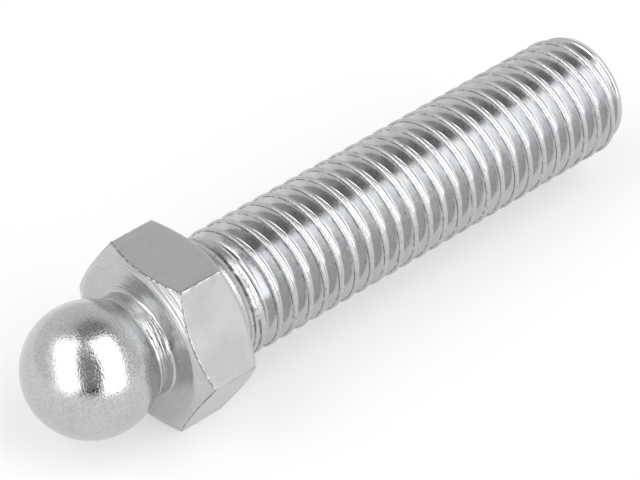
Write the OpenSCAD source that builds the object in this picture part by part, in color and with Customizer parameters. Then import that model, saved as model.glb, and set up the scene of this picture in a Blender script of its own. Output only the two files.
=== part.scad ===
// Threaded ball stud: a ball on a short neck, a hexagon to turn it by, and a right-hand threaded stud.
// Two pieces: the ball head, and the threaded stud whose spigot is pressed into the head's back.
// Millimetres. The axis is +X, with the ball's centre at the origin and the hexagon's flats facing up and down.

/* [Ball head] */
// Diameter of the ball
ball_d = 10; // [6:0.5:20]
// Diameter of the neck between the ball and the hexagon
neck_d = 8; // [4:0.5:16]
// From the ball's centre to the hexagon's front face
face_x = 4.35; // [3.2:0.05:12]
// Hexagon, across its flats
hex_af = 13; // [10:0.5:30]
// Height of the hexagon, front face to back face
hex_h = 5.15; // [3.5:0.05:15]
// Angle of the turned bevels at both ends of the hexagon
bevel_deg = 30; // [15:1:40]
// How far inside the flats the front bevel starts
front_bevel_in = 0.4; // [0.1:0.05:1]
// How far inside the flats the back bevel starts
back_bevel_in = 0.1; // [0.05:0.05:1]
// Radius of the hollow corner where the neck meets the front face
neck_fillet = 0.25; // [0.1:0.05:0.6]

/* [Threaded stud] */
// Diameter over the thread's crests
thread_d = 9.86; // [6:0.01:20]
// Pitch of the thread
pitch = 1.5; // [1:0.05:2.5]
// Length of the stud, from the hexagon's back face to its end
stud_len = 40; // [20:1:120]
// Length of the plain land next to the hexagon
land_len = 1.7; // [0.5:0.1:5]
// Length over which the thread's groove deepens after the land
run_out = 1.2; // [0.5:0.1:3]
// Length of the tapered end
taper_len = 1.3; // [0.5:0.1:3]
// Diameter of the flat end face
end_d = 8.8; // [4:0.1:19]

/* [Joint between the pieces] */
// Diameter of the spigot pressed into the head
spigot_d = 7; // [4:0.5:16]
// Length of the spigot
spigot_len = 4.3; // [2:0.1:12]
// Radial room between the spigot and its hole
fit_gap = 0.01; // [0:0.005:0.05]
// Room left beyond the spigot's end, for the displaced adhesive and air
bottom_gap = 0.2; // [0.1:0.05:1]
// Depth of the recess in the hexagon's back face that the stud's shoulder seats in
seat_depth = 0.4; // [0.1:0.05:1]

/* [Hidden] */
$fn = 96;
ball_r = ball_d / 2;
neck_r = neck_d / 2;
flat_r = hex_af / 2;
corner_r = flat_r / cos(30);
back_x = face_x + hex_h;
end_x = back_x + stud_len;
front_r = flat_r - front_bevel_in;
back_r = flat_r - back_bevel_in;
hole_depth = spigot_len + bottom_gap;
spigot_lead = 0.3;
seat_room = 0.25; // radial room round the shoulder in its recess

// Thread form: 60 degree flanks, a flat crest and a wider flat root
crest_r = thread_d / 2;
groove_depth = 0.6 * pitch;
crest_flat = 0.15 * pitch;
flank_w = groove_depth * tan(30);
root_flat = pitch - crest_flat - 2 * flank_w;
thread_x = back_x + land_len;
skin = 0.01; // the facets' corners stay this far inside the land's cylinder
turn_steps = 36;
crest_above = 13.22; // a crest passes straight above the axis here
first_x = thread_x - pitch;
crest_turn = 360 * (crest_above - first_x) / pitch; // where the helix starts, in degrees from straight up

// Turns a shape drawn along +Z to lie along +X
module along_x(x = 0) {
    translate([x, 0, 0]) rotate([0, 90, 0]) children();
}

// Solid of revolution about X, from an outline given as [distance along the axis, radius]
module turned(outline) {
    rotate([0, 90, 0]) rotate_extrude() polygon([for (p = outline) [p[1], p[0]]]);
}

// ---- Ball head ----

// The bevels' cones, closed in the middle of the hexagon
module bevel_envelope() {
    reach = corner_r + 1;
    rise_front = (reach - front_r) * tan(bevel_deg);
    rise_back = (reach - back_r) * tan(bevel_deg);
    turned([
        [face_x, 0], [face_x, front_r], [face_x + rise_front, reach],
        [back_x - rise_back, reach], [back_x, back_r], [back_x, 0],
    ]);
}

module hexagon() {
    intersection() {
        along_x(face_x - 1) rotate([0, 0, 30]) cylinder(h = hex_h + 2, r = corner_r, $fn = 6);
        bevel_envelope();
    }
}

// Neck with a hollow fillet at the face, drawn as a radial section and turned about the axis
module neck() {
    rotate([0, 90, 0]) rotate_extrude() difference() {
        translate([0, 0]) square([neck_r + neck_fillet, face_x + 0.5]);
        translate([neck_r, -1]) square([neck_fillet + 1, 1 + face_x - neck_fillet]);
        translate([neck_r + neck_fillet, face_x - neck_fillet]) circle(r = neck_fillet);
    }
}

// Blind hole for the spigot, with a shallow recess for the shoulder. The recess clears the land, so a nut or
// plate lies flat on the ring of the back face that is left.
module spigot_hole() {
    along_x(back_x - hole_depth) cylinder(h = hole_depth + 1, d = spigot_d + 2 * fit_gap);
    along_x(back_x - seat_depth) cylinder(h = seat_depth + 1, r = crest_r + fit_gap);
}

module ball_head() {
    color([0.78, 0.79, 0.8]) difference() {
        union() {
            sphere(r = ball_r);
            neck();
            hexagon();
        }
        spigot_hole();
    }
}

// ---- Threaded stud ----

// Corners of one turn of the thread: [share of a pitch, how deep as a share of the groove]
thread_form = [
    [-crest_flat / 2 / pitch, 0],
    [crest_flat / 2 / pitch, 0],
    [(crest_flat / 2 + flank_w) / pitch, 1],
    [(crest_flat / 2 + flank_w + root_flat) / pitch, 1],
];

// The groove starts from nothing at the land and reaches its full depth after run_out
function depth_at(x) = groove_depth * max(0, min(1, (x - thread_x) / run_out));

// A point of the thread: step s along the helix, at corner c of the form
function thread_point(s, c) = let (
    x = first_x + pitch * (s / turn_steps + thread_form[c][0]),
    a = crest_turn - 360 * s / turn_steps,
    r = crest_r - skin - depth_at(x) * thread_form[c][1]
) [x, r * sin(a), r * cos(a)];

// The threaded bar as one closed surface. Its rows follow the helix, and each end closes on a point of the axis,
// where the land hides it or the envelope cuts it away.
module threaded_bar() {
    n = len(thread_form);
    steps = turn_steps * (ceil((end_x - first_x) / pitch) + 1);
    last = steps + turn_steps;
    points = [
        for (s = [0:last]) for (c = [0:n - 1]) thread_point(s, c),
        [thread_point(0, 0)[0], 0, 0],
        [thread_point(last, 0)[0], 0, 0],
    ];
    start = len(points) - 2;
    end = len(points) - 1;
    // the last corner of a turn joins the first corner of the next one
    function at(s, c) = c < n ? s * n + c : (s + turn_steps) * n;
    polyhedron(points, [
        for (s = [0:steps - 1]) for (c = [0:n - 1]) each [
            [at(s, c), at(s, c + 1), at(s + 1, c + 1)],
            [at(s, c), at(s + 1, c + 1), at(s + 1, c)],
        ],
        for (s = [0:turn_steps - 1]) each [
            [start, at(s, 0), at(s + 1, 0)],
            [end, at(steps + s + 1, 0), at(steps + s, 0)],
        ],
        for (c = [0:n - 1]) each [
            [start, at(0, c + 1), at(0, c)],
            [end, at(steps, c), at(steps, c + 1)],
        ],
    ]);
}

// What the thread is cut from: the bar with its tapered end
module stud_envelope() {
    reach = crest_r + 1;
    turned([
        [back_x, 0], [back_x, reach], [end_x - taper_len, reach], [end_x - taper_len, crest_r],
        [end_x, end_d / 2], [end_x, 0],
    ]);
}

module threaded_stud() {
    color([0.72, 0.73, 0.74]) union() {
        intersection() {
            threaded_bar();
            stud_envelope();
        }
        along_x(back_x) cylinder(h = land_len, r = crest_r);
        turned([
            [back_x - spigot_len, 0],
            [back_x - spigot_len, spigot_d / 2 - spigot_lead],
            [back_x - spigot_len + spigot_lead, spigot_d / 2],
            [back_x - seat_depth, spigot_d / 2],
            [back_x - seat_depth, crest_r - seat_room],
            [back_x + land_len / 2, crest_r - seat_room],
            [back_x + land_len / 2, 0],
        ]);
    }
}

ball_head();
threaded_stud();
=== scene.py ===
import math

import bmesh
import bpy
import numpy as np
from mathutils import Matrix, Vector, noise


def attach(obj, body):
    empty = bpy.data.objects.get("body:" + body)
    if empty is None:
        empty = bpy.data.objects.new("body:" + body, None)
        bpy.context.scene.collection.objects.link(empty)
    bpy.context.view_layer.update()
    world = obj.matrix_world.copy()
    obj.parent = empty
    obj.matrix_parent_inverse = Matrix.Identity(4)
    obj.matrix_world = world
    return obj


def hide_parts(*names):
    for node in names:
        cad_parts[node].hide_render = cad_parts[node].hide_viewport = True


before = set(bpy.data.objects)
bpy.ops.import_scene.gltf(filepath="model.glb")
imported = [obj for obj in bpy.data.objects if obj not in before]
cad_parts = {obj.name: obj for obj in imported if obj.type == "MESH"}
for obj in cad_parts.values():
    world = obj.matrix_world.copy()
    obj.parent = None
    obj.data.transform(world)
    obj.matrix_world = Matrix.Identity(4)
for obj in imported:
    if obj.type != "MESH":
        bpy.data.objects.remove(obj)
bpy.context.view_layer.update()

# A zinc-plated ball stud. Lengths are in millimetres until a mesh is made. Every piece is built along its own
# Z axis, with local X pointing down, and is then laid along the row's +X.
mm = 0.001
layAlongX = Matrix.Rotation(math.pi / 2, 4, "Y")


# small helpers for the meshes

def grain(points, scale, seed=0.0):
    # smooth noise from -1 to 1 at each point, the same on every run
    offset = Vector((seed * 17.3, seed * 5.9, seed * 11.7))
    return np.array([noise.noise(Vector(p) * scale + offset) for p in points])


def easeBetween(low, high, value):
    t = np.clip((np.asarray(value, float) - low) / (high - low), 0, 1)
    return t * t * (3 - 2 * t)


def cornerShares(t):
    # how much of a soft corner's first, middle and last place counts at t, from 0 to 1
    return (1 - t) ** 2, 2 * t * (1 - t), t * t


def roundedCorner(first, corner, last, steps):
    # points of a soft corner between two places, each given as (along, radius)
    made = []
    for t in np.linspace(0, 1, steps):
        a, b, c = cornerShares(t)
        made.append(tuple(a * f + b * k + c * l for f, k, l in zip(first, corner, last)))
    return made


class Skin:
    # collects rings of points round the axis and joins each one to the next

    def __init__(self, angles):
        self.angles = angles
        self.sines, self.cosines = np.sin(angles), np.cos(angles)
        self.points, self.faces, self.finishes, self.wear = [], [], [], []
        self.lastRing = None  # where the last ring's points start

    def ring(self, along, radius, finish=0, wear=0.0):
        n = len(self.angles)
        self.wear += np.broadcast_to(wear, n).tolist()
        along, radius = np.broadcast_to(along, n), np.broadcast_to(radius, n)
        start = len(self.points)
        self.points += np.stack([-radius * self.cosines, radius * self.sines, along], 1).tolist()
        if self.lastRing is not None:
            for j in range(n):
                k = (j + 1) % n
                self.faces.append((self.lastRing + j, self.lastRing + k, start + k, start + j))
                self.finishes.append(finish)
        self.lastRing = start

    def close(self, along, atStart=False, finish=0):
        n, centre = len(self.angles), len(self.points)
        self.points.append((0.0, 0.0, along))
        self.wear.append(0.0)
        first = 0 if atStart else self.lastRing
        for j in range(n):
            k = (j + 1) % n
            self.faces.append((centre, first + k, first + j) if atStart else (centre, first + j, first + k))
            self.finishes.append(finish)


def layPiece(name, mesh):
    # puts a mesh in the scene, turned to lie along the row's +X
    piece = bpy.data.objects.new(name, mesh)
    bpy.context.scene.collection.objects.link(piece)
    piece.matrix_world = layAlongX
    return piece


def makePiece(name, skin, materials):
    faces, finishes = skin.faces, skin.finishes
    mesh = bpy.data.meshes.new(name)
    mesh.from_pydata((np.asarray(skin.points) * mm).tolist(), [], faces)
    mesh.attributes.new("wear", "FLOAT", "POINT").data.foreach_set("value", skin.wear)
    for material in materials:
        mesh.materials.append(material)
    mesh.polygons.foreach_set("material_index", np.asarray(finishes, np.int32))
    mesh.polygons.foreach_set("use_smooth", np.ones(len(faces), bool))
    mesh.update()
    work = bmesh.new()
    work.from_mesh(mesh)
    bmesh.ops.recalc_face_normals(work, faces=work.faces)
    work.to_mesh(mesh)
    work.free()
    return layPiece(name, mesh)


# small helpers for the materials

class Wire:
    # one output socket, so that shader maths reads as an expression

    def __init__(self, finish, socket):
        self.finish, self.socket = finish, socket

    def out(self, name):
        return Wire(self.finish, self.socket.node.outputs[name])

    def __add__(self, other):
        return self.finish.maths("ADD", self, other)

    def __radd__(self, other):
        return self.finish.maths("ADD", other, self)

    def __sub__(self, other):
        return self.finish.maths("SUBTRACT", self, other)

    def __rsub__(self, other):
        return self.finish.maths("SUBTRACT", other, self)

    def __mul__(self, other):
        return self.finish.maths("MULTIPLY", self, other)

    def __rmul__(self, other):
        return self.finish.maths("MULTIPLY", other, self)

    def __truediv__(self, other):
        return self.finish.maths("DIVIDE", self, other)

    def __rtruediv__(self, other):
        return self.finish.maths("DIVIDE", other, self)


class Finish:
    # a node tree and the one way nodes are added to it

    def __init__(self, name, tree=None):
        self.material = None
        if tree is None:
            self.material = bpy.data.materials.new(name)
            self.material.use_nodes = True
            tree = self.material.node_tree
        self.tree = tree
        tree.nodes.clear()

    def add(self, kind, settings=None, sockets=None, output=0):
        made = self.tree.nodes.new(kind)
        for key, value in (settings or {}).items():
            setattr(made, key, value)
        for key, value in (sockets or {}).items():
            if isinstance(value, Wire):
                self.tree.links.new(value.socket, made.inputs[key])
            else:
                made.inputs[key].default_value = value
        return Wire(self, made.outputs[output]) if len(made.outputs) else made

    def maths(self, operation, *values):
        return self.add("ShaderNodeMath", {"operation": operation}, dict(enumerate(values)))

    def between(self, value, low, high):
        # 0 below low, 1 above high and smooth in between
        return self.add("ShaderNodeMapRange", {"interpolation_type": "SMOOTHSTEP"},
                        {"Value": value, "From Min": low, "From Max": high})

    def band(self, value, middle, half, soft):
        # 1 within half of the middle, fading out over soft on both sides
        near = self.maths("ABSOLUTE", value - middle)
        return 1 - self.between(near, half, half + soft)

    def noise(self, vector, scale, detail=3.0, rough=0.55, extra=None):
        sockets = {"Vector": vector, "Scale": scale, "Detail": detail, "Roughness": rough}
        if extra is not None:
            sockets["W"] = extra
        size = "3D" if extra is None else "4D"
        return self.add("ShaderNodeTexNoise", {"noise_dimensions": size}, sockets)

    def blend(self, share, first, second):
        # mixes two colours, each a wire or three numbers
        pair = [c if isinstance(c, Wire) else (*c, 1) for c in (first, second)]
        return self.add("ShaderNodeMix", {"data_type": "RGBA"}, {0: share, 6: pair[0], 7: pair[1]}, output=2)

    def bump(self, height, strength, distance, under=None):
        sockets = {"Height": height, "Strength": strength, "Distance": distance * mm}
        if under is not None:
            sockets["Normal"] = under
        return self.add("ShaderNodeBump", {}, sockets)

    def metal(self, colour, roughness, normal, spread=0.0):
        shader = self.add("ShaderNodeBsdfPrincipled", {}, {
            "Base Color": colour, "Metallic": 1.0, "Roughness": roughness, "Normal": normal,
            "Anisotropic": spread,
        })
        self.add("ShaderNodeOutputMaterial", {}, {"Surface": shader})
        return self.material

    def places(self):
        # position in millimetres: the vector, the distance along the axis, the radius and the direction round it
        place = self.add("ShaderNodeTexCoord", output=3)
        scaled = self.add("ShaderNodeVectorMath", {"operation": "SCALE"}, {0: place, "Scale": 1 / mm})
        parts = self.add("ShaderNodeSeparateXYZ", {}, {0: scaled})
        x, y, along = parts.out("X"), parts.out("Y"), parts.out("Z")
        radius = self.maths("SQRT", x * x + y * y)
        return scaled, along, radius, x / radius, y / radius

    def wornEdge(self, place):
        # dark broken specks where the mesh says that an edge is near
        wear = self.add("ShaderNodeAttribute", {"attribute_name": "wear"}, output=2)
        specks = self.between(self.noise(place, 2.6, 4.0, 0.75), 0.36, 0.58)
        return wear * specks * 0.8

    def turningLines(self, along, radius, east, north, fine, around):
        # marks drawn out round the axis: quick changes along the profile, slow ones round it
        vector = self.add("ShaderNodeCombineXYZ", {}, {0: east * around, 1: north * around, 2: along * fine})
        return self.noise(vector, 1.0, 2.0, 0.6, extra=radius * fine)


# finishes

turnedLook = {
    "dull": (0.46, 0.465, 0.47), "bright": (0.55, 0.555, 0.56), "dark": (0.14, 0.14, 0.15),
    "roughLow": 0.12, "roughHigh": 0.22, "linesPerMm": 6.0,
    "pitScale": 7.0, "pitDepth": 0.0042, "swellScale": 1.1, "swellDepth": 0.006, "lineDepth": 0.07,
}


def turnedZinc(name, look, lineStrength, pitShare, spread):
    f = Finish(name)
    place, along, radius, east, north = f.places()
    clouds = f.noise(place, 0.55, 3.0)
    lines = f.turningLines(along, radius, east, north, look["linesPerMm"], 1.6)
    pits = f.between(f.noise(place, look["pitScale"], 1.0, 0.7), 0.4, 0.6)
    swell = f.noise(place, look["swellScale"], 2.0)
    tone = f.between(clouds * 0.4 + lines * (0.6 - pitShare) + pits * pitShare, 0.3, 0.7)
    colour = f.blend(tone, look["dull"], look["bright"])
    worn = f.wornEdge(place)
    colour = f.blend(worn, colour, look["dark"])
    rougher = pits * 0.6 + f.between(clouds, 0.35, 0.65) * 0.4
    roughness = look["roughLow"] + (look["roughHigh"] - look["roughLow"]) * rougher
    normal = f.bump(swell, 1.0, look["swellDepth"])
    normal = f.bump(pits, min(1.0, pitShare * 4), look["pitDepth"], normal)
    normal = f.bump(lines, lineStrength, look["lineDepth"], normal)
    return f.metal(colour, roughness, normal, spread)


ballZinc = turnedZinc("ballZinc", turnedLook, 0.09, 0.28, 0.0)
faceZinc = turnedZinc("faceZinc", turnedLook, 1.0, 0.1, 0.3)

flatLook = {
    "dull": (0.49, 0.495, 0.5), "bright": (0.53, 0.535, 0.54), "dark": (0.1, 0.1, 0.105),
    "roughLow": 0.27, "roughHigh": 0.31, "swellScale": 0.45, "swellDepth": 0.01,
    "markStrength": 0.4, "markDepth": 0.003,
}


def drawnZinc(name, look):
    # the flats of the drawn bar: satin, with faint clouds and long faint draw marks
    f = Finish(name)
    place = f.places()[0]
    clouds = f.noise(place, 0.4, 4.0)
    stretched = f.add("ShaderNodeVectorMath", {"operation": "MULTIPLY"}, {0: place, 1: (1.0, 1.0, 0.12)})
    marks = f.noise(stretched, 5.0, 3.0)
    fineGrain = f.noise(place, 9.0, 2.0)
    tone = f.between(clouds * 0.3 + marks * 0.3 + fineGrain * 0.4, 0.36, 0.64)
    colour = f.blend(tone, look["dull"], look["bright"])
    colour = f.blend(f.wornEdge(place), colour, look["dark"])
    roughness = look["roughLow"] + (look["roughHigh"] - look["roughLow"]) * f.between(clouds, 0.35, 0.65)
    normal = f.bump(f.noise(place, look["swellScale"], 2.0), 1.0, look["swellDepth"])
    normal = f.bump(marks, look["markStrength"], look["markDepth"], normal)
    return f.metal(colour, roughness, normal)


flatZinc = drawnZinc("flatZinc", flatLook)

threadLook = {
    "dull": (0.51, 0.515, 0.525), "bright": (0.56, 0.565, 0.57), "crest": (0.46, 0.465, 0.47),
    "dark": (0.12, 0.12, 0.125), "roughLow": 0.14, "roughHigh": 0.24, "crestRough": -0.08,
    "crestFrom": 4.74, "crestTo": 4.8, "shadeLineRadius": 4.74, "landTo": 11.75,
    "shadeLineHalf": 0.015, "shadeLineSoft": 0.04, "swellScale": 1.2, "swellDepth": 0.012,
    "speckScale": 4.6, "speckDepth": 0.02, "ringDepth": 0.06,
}

# rings cut in the plain land, darkened with painted shade: distance along the axis, half width
landRings = ((10.8, 0.02), (11.28, 0.07))


def rolledZinc(name, look):
    # smooth rolled flanks, with duller, speckled crests and a broken dark line of painted shade under each
    # crest, for the dark reflection there
    f = Finish(name)
    place, along, radius = f.places()[:3]
    clouds = f.noise(place, 0.7, 3.0)
    specks = f.noise(place, look["speckScale"], 3.0, 0.7)
    crest = f.between(radius, look["crestFrom"], look["crestTo"])
    tone = f.between(clouds * 0.5 + specks * 0.5, 0.38, 0.62)
    colour = f.blend(tone, look["dull"], look["bright"])
    colour = f.blend(crest * f.between(specks, 0.45, 0.6), colour, look["crest"])
    # painted shade: a broken dark line on both flanks just below each crest, for the dark reflection of the
    # hidden flank
    paintedShadeLine = f.band(radius, look["shadeLineRadius"], look["shadeLineHalf"], look["shadeLineSoft"])
    paintedShadeLine = paintedShadeLine * f.between(f.noise(place, 1.6, 3.0), 0.36, 0.56)
    pocks = crest * f.between(f.noise(place, 3.4, 3.0, 0.7, extra=2.0), 0.6, 0.68)
    onLand = 1 - f.between(along, look["landTo"], look["landTo"] + 0.1)
    # the cut rings are darkened with painted shade, besides being bumped in
    rings = 0
    for middle, half in landRings:
        rings = f.band(along, middle, half, 0.05) + rings
    rings = rings * onLand
    # painted shade of the line under each crest and of the land rings, with the real dark pocks on the crests,
    # mixed towards the dark colour
    paintedShadeAndPocks = f.maths("MINIMUM", paintedShadeLine * 0.8 + pocks * 0.5 + rings * 0.25, 1.0)
    colour = f.blend(paintedShadeAndPocks, colour, look["dark"])
    roughness = look["roughLow"] + (look["roughHigh"] - look["roughLow"]) * f.between(specks, 0.3, 0.7)
    roughness = roughness - look["crestRough"] * crest
    normal = f.bump(f.noise(place, look["swellScale"], 2.0), 1.0, look["swellDepth"])
    normal = f.bump(specks * (0.05 + 0.95 * crest), 1.0, look["speckDepth"], normal)
    normal = f.bump(1 - rings, 1.0, look["ringDepth"], normal)
    return f.metal(colour, roughness, normal)


threadZinc = rolledZinc("threadZinc", threadLook)
print("stage: finishes made")


# ball head: ball, neck and hexagon, with the blind hole for the stud's spigot

ballHead = {
    "ballRadius": 4.995, "neckRadius": 4.0, "faceX": 4.35, "backX": 9.5,
    "flatRadius": 6.499, "frontRidge": 6.1, "backRidge": 6.4, "bevelAngle": 30,
    "cornerRound": 0.16, "edgeRound": 0.07, "neckFillet": 0.2, "cornerWearWidth": 0.07,
    "recessRadius": 4.94, "recessDepth": 0.4, "holeRadius": 3.51, "holeDepth": 4.5,
    "poleAngle": 1.5, "ballRings": 60, "neckBlend": 0.03, "neckRingStep": 0.04, "faceRingStep": 0.07,
    "neckRipple": 0.008, "faceStroke": 0.006, "wobble": 0.002, "ridgeSoft": 0.08, "backRidgeSoft": 0.03,
    "cornerDent": 0.22, "cornerWear": 0.85, "lip": 0.02,
}

# turned grooves in the neck: distance along the axis, width, depth
neckGrooves = ((3.62, 0.05, 0.01), (3.9, 0.06, 0.01))


def hexagonAngles():
    # angles round the axis, close together at the six corners
    half = np.array([0.0, 0.12, 0.26, 0.42, 0.6, 0.9, 1.4, 2.1])
    plain = np.linspace(3.2, 56.8, 27)
    one = np.concatenate([half, plain, 60 - half[:0:-1]])
    return np.radians(np.concatenate([30 + 60 * k + one for k in range(6)]))


def hexagonRadius(angles, flatRadius, cornerRound):
    # radius of a hexagon with rounded corners, flats at 0, 60 ... degrees
    fromFlat = (angles + math.pi / 6) % (math.pi / 3) - math.pi / 6
    fromCorner = math.pi / 6 - np.abs(fromFlat)
    flat = flatRadius / np.cos(fromFlat)
    centre = (flatRadius - cornerRound) / math.cos(math.pi / 6)
    inside = cornerRound ** 2 - (centre * np.sin(fromCorner)) ** 2
    corner = centre * np.cos(fromCorner) + np.sqrt(np.maximum(inside, 0))
    return np.where(inside > 0, np.minimum(flat, corner), flat)


def buildBallHead(size):
    angles = hexagonAngles()
    skin = Skin(angles)
    ballR, neckR, faceX, backX = size["ballRadius"], size["neckRadius"], size["faceX"], size["backX"]
    slope = math.tan(math.radians(size["bevelAngle"]))
    rim = np.stack([np.cos(angles), np.sin(angles), 0 * angles], 1)

    # ball, from its pole to the neck
    lastAngle = math.pi - math.asin(neckR / ballR) - size["neckBlend"]
    for polar in np.linspace(math.radians(size["poleAngle"]), lastAngle, size["ballRings"]):
        skin.ring(-ballR * math.cos(polar), ballR * math.sin(polar), 0)
    skin.close(-ballR, atStart=True, finish=0)
    neckX = math.sqrt(ballR ** 2 - neckR ** 2)
    last = (-ballR * math.cos(lastAngle), ballR * math.sin(lastAngle))
    for along, radius in roundedCorner(last, (neckX, neckR - 0.015), (neckX + 0.16, neckR - 0.02), 5)[1:]:
        skin.ring(along, radius, 1)

    # neck, with fine turned rings that deepen towards the face
    fillet = size["neckFillet"]
    for along in np.arange(neckX + 0.2, faceX - fillet, size["neckRingStep"]):
        ripple = size["neckRipple"] * noise.noise(Vector((along * 7.0, 0.3, 0.7)))
        for centre, width, depth in neckGrooves:
            ripple -= depth * math.exp(-((along - centre) / width) ** 2)
        skin.ring(along, neckR + ripple + size["wobble"] * grain(rim, 2.0, along * 3), 1)
    for turn in np.linspace(0.1, math.pi / 2, 6):
        skin.ring(faceX - fillet + fillet * math.sin(turn), neckR + fillet - fillet * math.cos(turn), 1)

    # turned face, with shallow strokes round the axis
    ridge, soft, step = size["frontRidge"], size["ridgeSoft"], size["faceRingStep"]
    for radius in np.arange(neckR + fillet + step, ridge - 0.1, step):
        stroke = size["faceStroke"] * noise.noise(Vector((radius * 5.5, 2.3, 5.1)))
        skin.ring(faceX + stroke + size["wobble"] * grain(rim, 2.2, radius * 5), radius, 1)
    bevelStart = (faceX + soft * slope, ridge + soft)
    for along, radius in roundedCorner((faceX, ridge - soft), (faceX, ridge), bevelStart, 4):
        skin.ring(along, radius, 1)

    # front bevel, drawn out to the hexagon, then the flats and the back bevel
    edge = size["edgeRound"]
    nicks = grain(rim * 6.5, 1.6, 3.0)
    outer = hexagonRadius(angles, size["flatRadius"], size["cornerRound"])
    frontX = faceX + (outer - ridge) * slope
    rough = edge * (1 + 0.5 * nicks)
    inner = outer - rough
    for share, wear in zip((0.2, 0.4, 0.6, 0.8, 0.93, 1.0), (0, 0, 0, 0, 0, 0.7)):
        radius = (ridge + soft) + share * (inner - ridge - soft)
        skin.ring(faceX + (radius - ridge) * slope, radius, 1, wear)
    flatStart = frontX + rough
    for t in (0.25, 0.5, 0.75, 1.0):
        a, b, c = cornerShares(t)
        skin.ring(a * (faceX + (inner - ridge) * slope) + b * frontX + c * flatStart,
                  a * inner + b * (outer - 0.01) + c * outer, 2, 1.0 if t < 1 else 0.8)
    backRidge, backSoft = size["backRidge"], size["backRidgeSoft"]
    backEdgeX = backX - (outer - backRidge) * slope
    flatEnd = backEdgeX - edge
    fromCorner = np.minimum((angles - math.pi / 6) % (math.pi / 3), (math.pi / 6 - angles) % (math.pi / 3))
    fromEdge = fromCorner * size["flatRadius"] / size["cornerWearWidth"]
    cornerWear = size["cornerWear"] * np.exp(-fromEdge ** 2)
    dented = hexagonRadius(angles, size["flatRadius"], size["cornerRound"] + size["cornerDent"])
    for share in (0.008, 0.02, *np.linspace(0.05, 1, 24)):
        along = flatStart + share * (flatEnd - flatStart)
        # the corners of the bar are a little uneven along their length
        spots = np.stack([rim[:, 0] * 7, rim[:, 1] * 7, along], 1)
        uneven = grain(spots, 2.2, 9.0)
        patchy = 0.5 + 0.5 * grain(spots, 1.3, 4.0)
        skin.ring(along, outer - (outer - dented) * np.clip(0.5 + uneven, 0, 1), 2, cornerWear * patchy)
    for t in (0.33, 0.67, 1.0):
        a, b, c = cornerShares(t)
        radiusEnd = outer - edge
        skin.ring(a * flatEnd + b * backEdgeX + c * (backX - (radiusEnd - backRidge) * slope),
                  a * outer + b * (outer - 0.01) + c * radiusEnd, 2)
    for share in np.linspace(0, 1, 5)[1:]:
        radius = outer - edge + share * (backRidge + backSoft - outer + edge)
        skin.ring(backX - (radius - backRidge) * slope, radius, 1)
    bevelEnd, faceStart = (backX - backSoft * slope, backRidge + backSoft), backRidge - 0.04
    for along, radius in roundedCorner(bevelEnd, (backX, backRidge), (backX, faceStart), 3)[1:]:
        skin.ring(along, radius, 1)
    for radius in np.linspace(faceStart, size["recessRadius"] + 0.05, 12)[1:]:
        skin.ring(backX, radius, 1)

    # recess for the stud's shoulder, and the blind hole
    recess, hole, lip = size["recessRadius"], size["holeRadius"], size["lip"]
    seat, bottom = backX - size["recessDepth"], backX - size["holeDepth"]
    for along, radius in (
        (backX, recess), (backX - lip, recess), (seat + lip, recess), (seat, recess), (seat, recess - lip),
        (seat, hole + lip), (seat, hole), (seat - lip, hole), (bottom + lip, hole), (bottom, hole),
        (bottom, hole - lip),
    ):
        skin.ring(along, radius, 1)
    skin.close(bottom, finish=1)
    return makePiece("ballHead", skin, [ballZinc, faceZinc, flatZinc])


head = buildBallHead(ballHead)
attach(head, "root")
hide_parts("ball_head")
print("stage: ball head", len(head.data.polygons), "faces")


# threaded stud: rolled thread, plain land, and the spigot inside the head

threadedStud = {
    "crestRadius": 4.92, "pitch": 1.5, "startX": 9.5, "endX": 49.5, "landEnd": 11.2, "landRadius": 4.84,
    "crestHalf": 0.1125, "crestRound": 0.05, "rootRound": 0.2, "seamDepth": 0.014,
    "fullDepthX": 13.5, "crestAbove": 13.22, "taperX": 48.2, "endRadius": 4.4, "endRound": 0.06,
    "stepsPerTurn": 96, "crestWear": 0.012, "wearTo": 0.12, "lip": 0.02,
    "shoulderDepth": 0.4, "shoulderRadius": 4.68,
    "spigotRadius": 3.5, "spigotDepth": 4.3, "spigotLead": 0.3,
}

# the fold along each crest: distance from its middle, share of the fold's depth
crestSeam = ((0.0, 1.0), (0.03, 0.6), (0.055, 0.08), (0.075, 0.0))


def threadForm(size):
    # one pitch of the thread as [offset from the crest's middle, depth], from root to root
    half, tip, seam = size["crestHalf"], size["crestRound"], size["seamDepth"]
    rootRound, pitch = size["rootRound"], size["pitch"]
    steep = 1 / math.tan(math.pi / 6)
    sharp = (pitch / 2 - half) * steep  # depth at which the two flanks would meet
    oneSide = [(along, seam * share) for along, share in crestSeam]
    flankStart = (half + tip * 0.5, tip * 0.5 * steep)
    oneSide += roundedCorner((half - tip * 0.6, 0.002), (half, 0.004), flankStart, 5)
    edge = rootRound * math.cos(math.pi / 6)
    rootStart = pitch / 2 - edge
    for share in (0.3, 0.6, 0.85):
        along = half + tip * 0.5 + share * (rootStart - half - tip * 0.5)
        oneSide.append((along, (along - half) * steep))
    for turn in np.radians([60, 45, 30, 15, 0]):
        across = rootRound * math.sin(turn)
        oneSide.append((pitch / 2 - across, sharp - 2 * rootRound + rootRound * math.cos(turn)))
    left = [(-along, depth) for along, depth in oneSide[:0:-1]]
    return np.array(left + oneSide[:-1])


def studRadius(along, depth, size):
    # radius at a point of the thread, allowing for the run-out at the land and the tapered end
    deepening = easeBetween(size["landEnd"] - 0.5, size["fullDepthX"], along)
    top, low = size["crestRadius"], size["crestRadius"] - size["landRadius"]
    crest = top - low * (1 - easeBetween(size["landEnd"] - 0.2, size["fullDepthX"] + 0.3, along))
    radius = crest - depth * deepening
    taper = top - (along - size["taperX"]) * (top - size["endRadius"]) / (size["endX"] - size["taperX"])
    return np.minimum(radius, np.maximum(taper, size["endRadius"] - 0.05))


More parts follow.
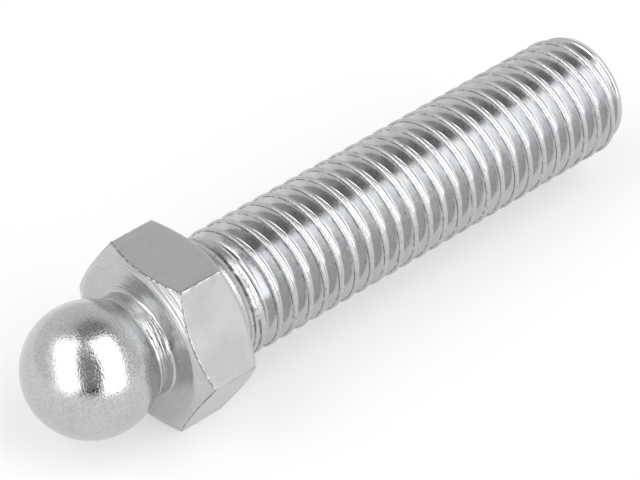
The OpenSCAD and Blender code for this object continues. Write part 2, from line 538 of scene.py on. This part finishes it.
def edgeLoop(work, along):
    # the open loop of vertices at one end, in order
    ends = [v for v in work.verts if abs(v.co.z - along) < 1e-6 and any(e.is_boundary for e in v.link_edges)]
    start = ends[0]
    loop, before, here = [start], None, start
    while True:
        joined = [e.other_vert(here) for e in here.link_edges if e.is_boundary]
        step = [v for v in joined if v is not before][0]
        if step is start:
            return loop
        loop.append(step)
        before, here = here, step


def capLoop(work, loop, rings, finish=0):
    # carries an open end inwards through rings of (along, radius)
    # a radius below zero is taken off each point's own radius
    for along, radius in rings:
        added = []
        for v in loop:
            own = math.hypot(v.co.x, v.co.y)
            reach = (own / mm + radius if radius < 0 else radius) * mm
            added.append(work.verts.new((v.co.x / own * reach, v.co.y / own * reach, along * mm)))
        n = len(loop)
        for j in range(n):
            face = work.faces.new((loop[j], loop[(j + 1) % n], added[(j + 1) % n], added[j]))
            face.smooth, face.material_index = True, finish
        loop = added
    centre = work.verts.new((0, 0, rings[-1][0] * mm))
    for j in range(len(loop)):
        face = work.faces.new((loop[j], loop[(j + 1) % len(loop)], centre))
        face.smooth, face.material_index = True, finish


def buildThreadedStud(size):
    # rows of points follow the helix; each joins the row one turn on, and both ends are cut square and capped
    form, pitch, steps = threadForm(size), size["pitch"], size["stepsPerTurn"]
    corners = len(form)
    firstTurn = math.floor((size["startX"] - size["crestAbove"]) / pitch) - 2
    lastTurn = math.ceil((size["endX"] - size["crestAbove"]) / pitch) + 2
    turns = np.arange(firstTurn * steps, lastTurn * steps + 1) / steps
    along = size["crestAbove"] + pitch * turns[:, None] + form[None, :, 0]
    # the angle is measured from straight up towards +Y, and falls as the thread advances: a right-hand thread
    angle = np.broadcast_to(-2 * math.pi * turns[:, None], along.shape)
    rim = np.stack([np.cos(angle), np.sin(angle), along], -1).reshape(-1, 3)
    nearCrest = easeBetween(size["wearTo"], 0.0, np.tile(form[:, 1], len(turns)))
    worn = size["crestWear"] * grain(rim * [4.9, 4.9, 1.0], 1.5, 2.0) * nearCrest
    radius = studRadius(along, form[None, :, 1], size) - np.abs(worn.reshape(along.shape))
    points = np.stack([-radius * np.cos(angle), radius * np.sin(angle), along], -1).reshape(-1, 3)
    faces = []
    for s in range(len(turns) - 1 - steps):
        for c in range(corners):
            a, b = s * corners + c, (s + 1) * corners + c
            following = (s + steps) * corners if c == corners - 1 else a + 1
            followingUp = (s + 1 + steps) * corners if c == corners - 1 else b + 1
            faces.append((a, following, followingUp, b))
    mesh = bpy.data.meshes.new("threadedStud")
    mesh.from_pydata((points * mm).tolist(), [], faces)
    work = bmesh.new()
    work.from_mesh(mesh)
    # the last turn's spare points belong to no face
    bmesh.ops.delete(work, geom=[v for v in work.verts if not v.link_faces], context="VERTS")
    endCut = size["endX"] - size["endRound"]
    for place, side in ((size["startX"], -1), (endCut, 1)):
        everything = work.verts[:] + work.edges[:] + work.faces[:]
        bmesh.ops.bisect_plane(work, geom=everything, dist=1e-9, plane_co=(0, 0, place * mm),
                               plane_no=(0, 0, side), clear_outer=True)
    for face in work.faces:
        face.smooth = True
    start, shoulder, lip = size["startX"], size["shoulderRadius"], size["lip"]
    seat, deep = start - size["shoulderDepth"], start - size["spigotDepth"]
    spigot, lead = size["spigotRadius"], size["spigotLead"]
    capLoop(work, edgeLoop(work, start * mm), [
        (start, shoulder), (start - lip, shoulder), (seat + lip, shoulder), (seat, shoulder),
        (seat, shoulder - lip), (seat, spigot + lip), (seat, spigot), (seat - lip, spigot),
        (deep + lead, spigot), (deep, spigot - lead), (deep, spigot - lead - lip),
    ])
    end, endR, soft = size["endX"], size["endRadius"], size["endRound"]
    capLoop(work, edgeLoop(work, endCut * mm), [
        (end - soft * 0.3, -soft * 0.3), (end, -soft * 0.7),
        (end, endR * 0.85), (end, endR * 0.6), (end, endR * 0.3),
    ])
    bmesh.ops.recalc_face_normals(work, faces=work.faces)
    work.to_mesh(mesh)
    work.free()
    mesh.materials.append(threadZinc)
    return layPiece("threadedStud", mesh)


stud = buildThreadedStud(threadedStud)
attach(stud, "root")
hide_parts("threaded_stud")
print("stage: threaded stud", len(stud.data.polygons), "faces")


# studio: pale floor, two tall soft lights, soft grey surroundings

studio = {
    "floorZ": -6.51, "floorReach": 6.0, "floorTone": 0.38, "floorGlow": 0.48,  # the reach is in metres
    "back": 0.86, "top": 0.7, "overhead": 0.3, "sideFill": 1.1, "gap": 0.34, "gapLow": 0.0,
    "overheadFrom": (0.25, 0.12, 0.96), "sideFrom": (0.98, 0.1, 0.12),
    "gapFrom": (-0.62, -0.57, 0.54), "gapLowFrom": (-0.68, -0.72, 0.12),
}

# each soft panel: the direction of its middle, the way across it, the way up it, and its edges as sines
leftPanel = {
    "middle": (-0.760, -0.093, 0.643), "across": (-0.456, 0.777, -0.433), "up": (0.459, 0.622, 0.633),
    "acrossFrom": (-0.24, -0.12), "acrossTo": (0.2, 0.62),
    "upFrom": (-0.7, -0.6), "upTo": (0.56, 0.74), "level": 3.0,
}
rightPanel = {
    "middle": (0.262, -0.813, 0.52), "across": (0.937, 0.082, -0.341), "up": (0.235, 0.576, 0.783),
    "acrossFrom": (-0.48, -0.36), "acrossTo": (0.06, 0.24),
    "upFrom": (-0.7, -0.58), "upTo": (0.66, 0.82), "level": 3.6,
}


def makeFloor(look):
    f = Finish("paleFloor")
    tone = look["floorTone"]
    shader = f.add("ShaderNodeBsdfPrincipled", {}, {
        "Base Color": (tone, tone, tone, 1), "Roughness": 0.9,
        "Emission Color": (1, 1, 1, 1), "Emission Strength": look["floorGlow"],
    })
    f.add("ShaderNodeOutputMaterial", {}, {"Surface": shader})
    mesh = bpy.data.meshes.new("floor")
    reach = look["floorReach"]
    corners = [(-reach, -reach, 0), (reach, -reach, 0), (reach, reach, 0), (-reach, reach, 0)]
    mesh.from_pydata(corners, [], [(0, 1, 2, 3)])
    mesh.materials.append(f.material)
    floor = bpy.data.objects.new("floor", mesh)
    floor.location.z = look["floorZ"] * mm
    bpy.context.scene.collection.objects.link(floor)


def facing(f, direction, way):
    # cosine of the angle between the direction looked in and a fixed one
    unit = Vector(way).normalized()
    return f.add("ShaderNodeVectorMath", {"operation": "DOT_PRODUCT"}, {0: direction, 1: unit}, output=1)


def softPanel(f, direction, panel):
    across, up = facing(f, direction, panel["across"]), facing(f, direction, panel["up"])
    shape = f.between(across, *panel["acrossFrom"]) * (1 - f.between(across, *panel["acrossTo"]))
    shape = shape * f.between(up, *panel["upFrom"]) * (1 - f.between(up, *panel["upTo"]))
    return shape * f.between(facing(f, direction, panel["middle"]), 0.0, 0.1)


def makeSurroundings(look):
    # a pale tent lit through its sides, open and darker towards the front
    world = bpy.data.worlds.new("surroundings")
    bpy.context.scene.world = world
    world.use_nodes = True
    f = Finish("surroundings", world.node_tree)
    direction = f.add("ShaderNodeTexCoord")
    height = f.add("ShaderNodeSeparateXYZ", {}, {0: direction}).out("Z")
    level = look["back"] + (look["top"] - look["back"]) * f.between(height, 0.3, 0.95)
    side = f.between(facing(f, direction, look["sideFrom"]), 0.8, 1.0)
    level = level + (look["sideFill"] - look["back"]) * side
    overhead = f.between(facing(f, direction, look["overheadFrom"]), 0.84, 0.96)
    level = level + (look["overhead"] - level) * overhead
    gap = f.between(facing(f, direction, look["gapFrom"]), 0.6, 0.9)
    level = level + (look["gap"] - level) * gap
    low = f.between(facing(f, direction, look["gapLowFrom"]), 0.8, 0.93)
    low = low * f.band(height, 0.12, 0.08, 0.06)
    level = level + (look["gapLow"] - level) * low
    for panel in (leftPanel, rightPanel):
        level = level + (panel["level"] - level) * softPanel(f, direction, panel)
    background = f.add("ShaderNodeBackground", {}, {"Color": level, "Strength": 1.0})
    f.add("ShaderNodeOutputWorld", {}, {"Surface": background})


makeFloor(studio)
makeSurroundings(studio)


# camera

cameraPlace = {
    "location": (-106.41, -135.2, 153.81), "azimuth": -43.492, "elevation": 39.562, "roll": 1.381,
    "lens": 184.81, "sensor": 36.0,
}


def makeCamera(place):
    lens = bpy.data.cameras.new("camera")
    lens.lens, lens.sensor_width = place["lens"], place["sensor"]
    lens.clip_start, lens.clip_end = 0.01, 20.0
    camera = bpy.data.objects.new("camera", lens)
    a, e, r = (math.radians(place[k]) for k in ("azimuth", "elevation", "roll"))
    back = Vector((math.sin(a) * math.cos(e), -math.cos(a) * math.cos(e), math.sin(e)))
    right = Vector((math.cos(a), math.sin(a), 0.0))
    up = back.cross(right)
    rightRolled = right * math.cos(r) + up * math.sin(r)
    upRolled = up * math.cos(r) - right * math.sin(r)
    turned = Matrix((rightRolled, upRolled, back)).transposed().to_4x4()
    camera.matrix_world = Matrix.Translation(Vector(place["location"]) * mm) @ turned
    bpy.context.scene.collection.objects.link(camera)
    bpy.context.scene.camera = camera


makeCamera(cameraPlace)
bpy.context.scene.view_settings.view_transform = "Standard"
print("stage: studio and camera")
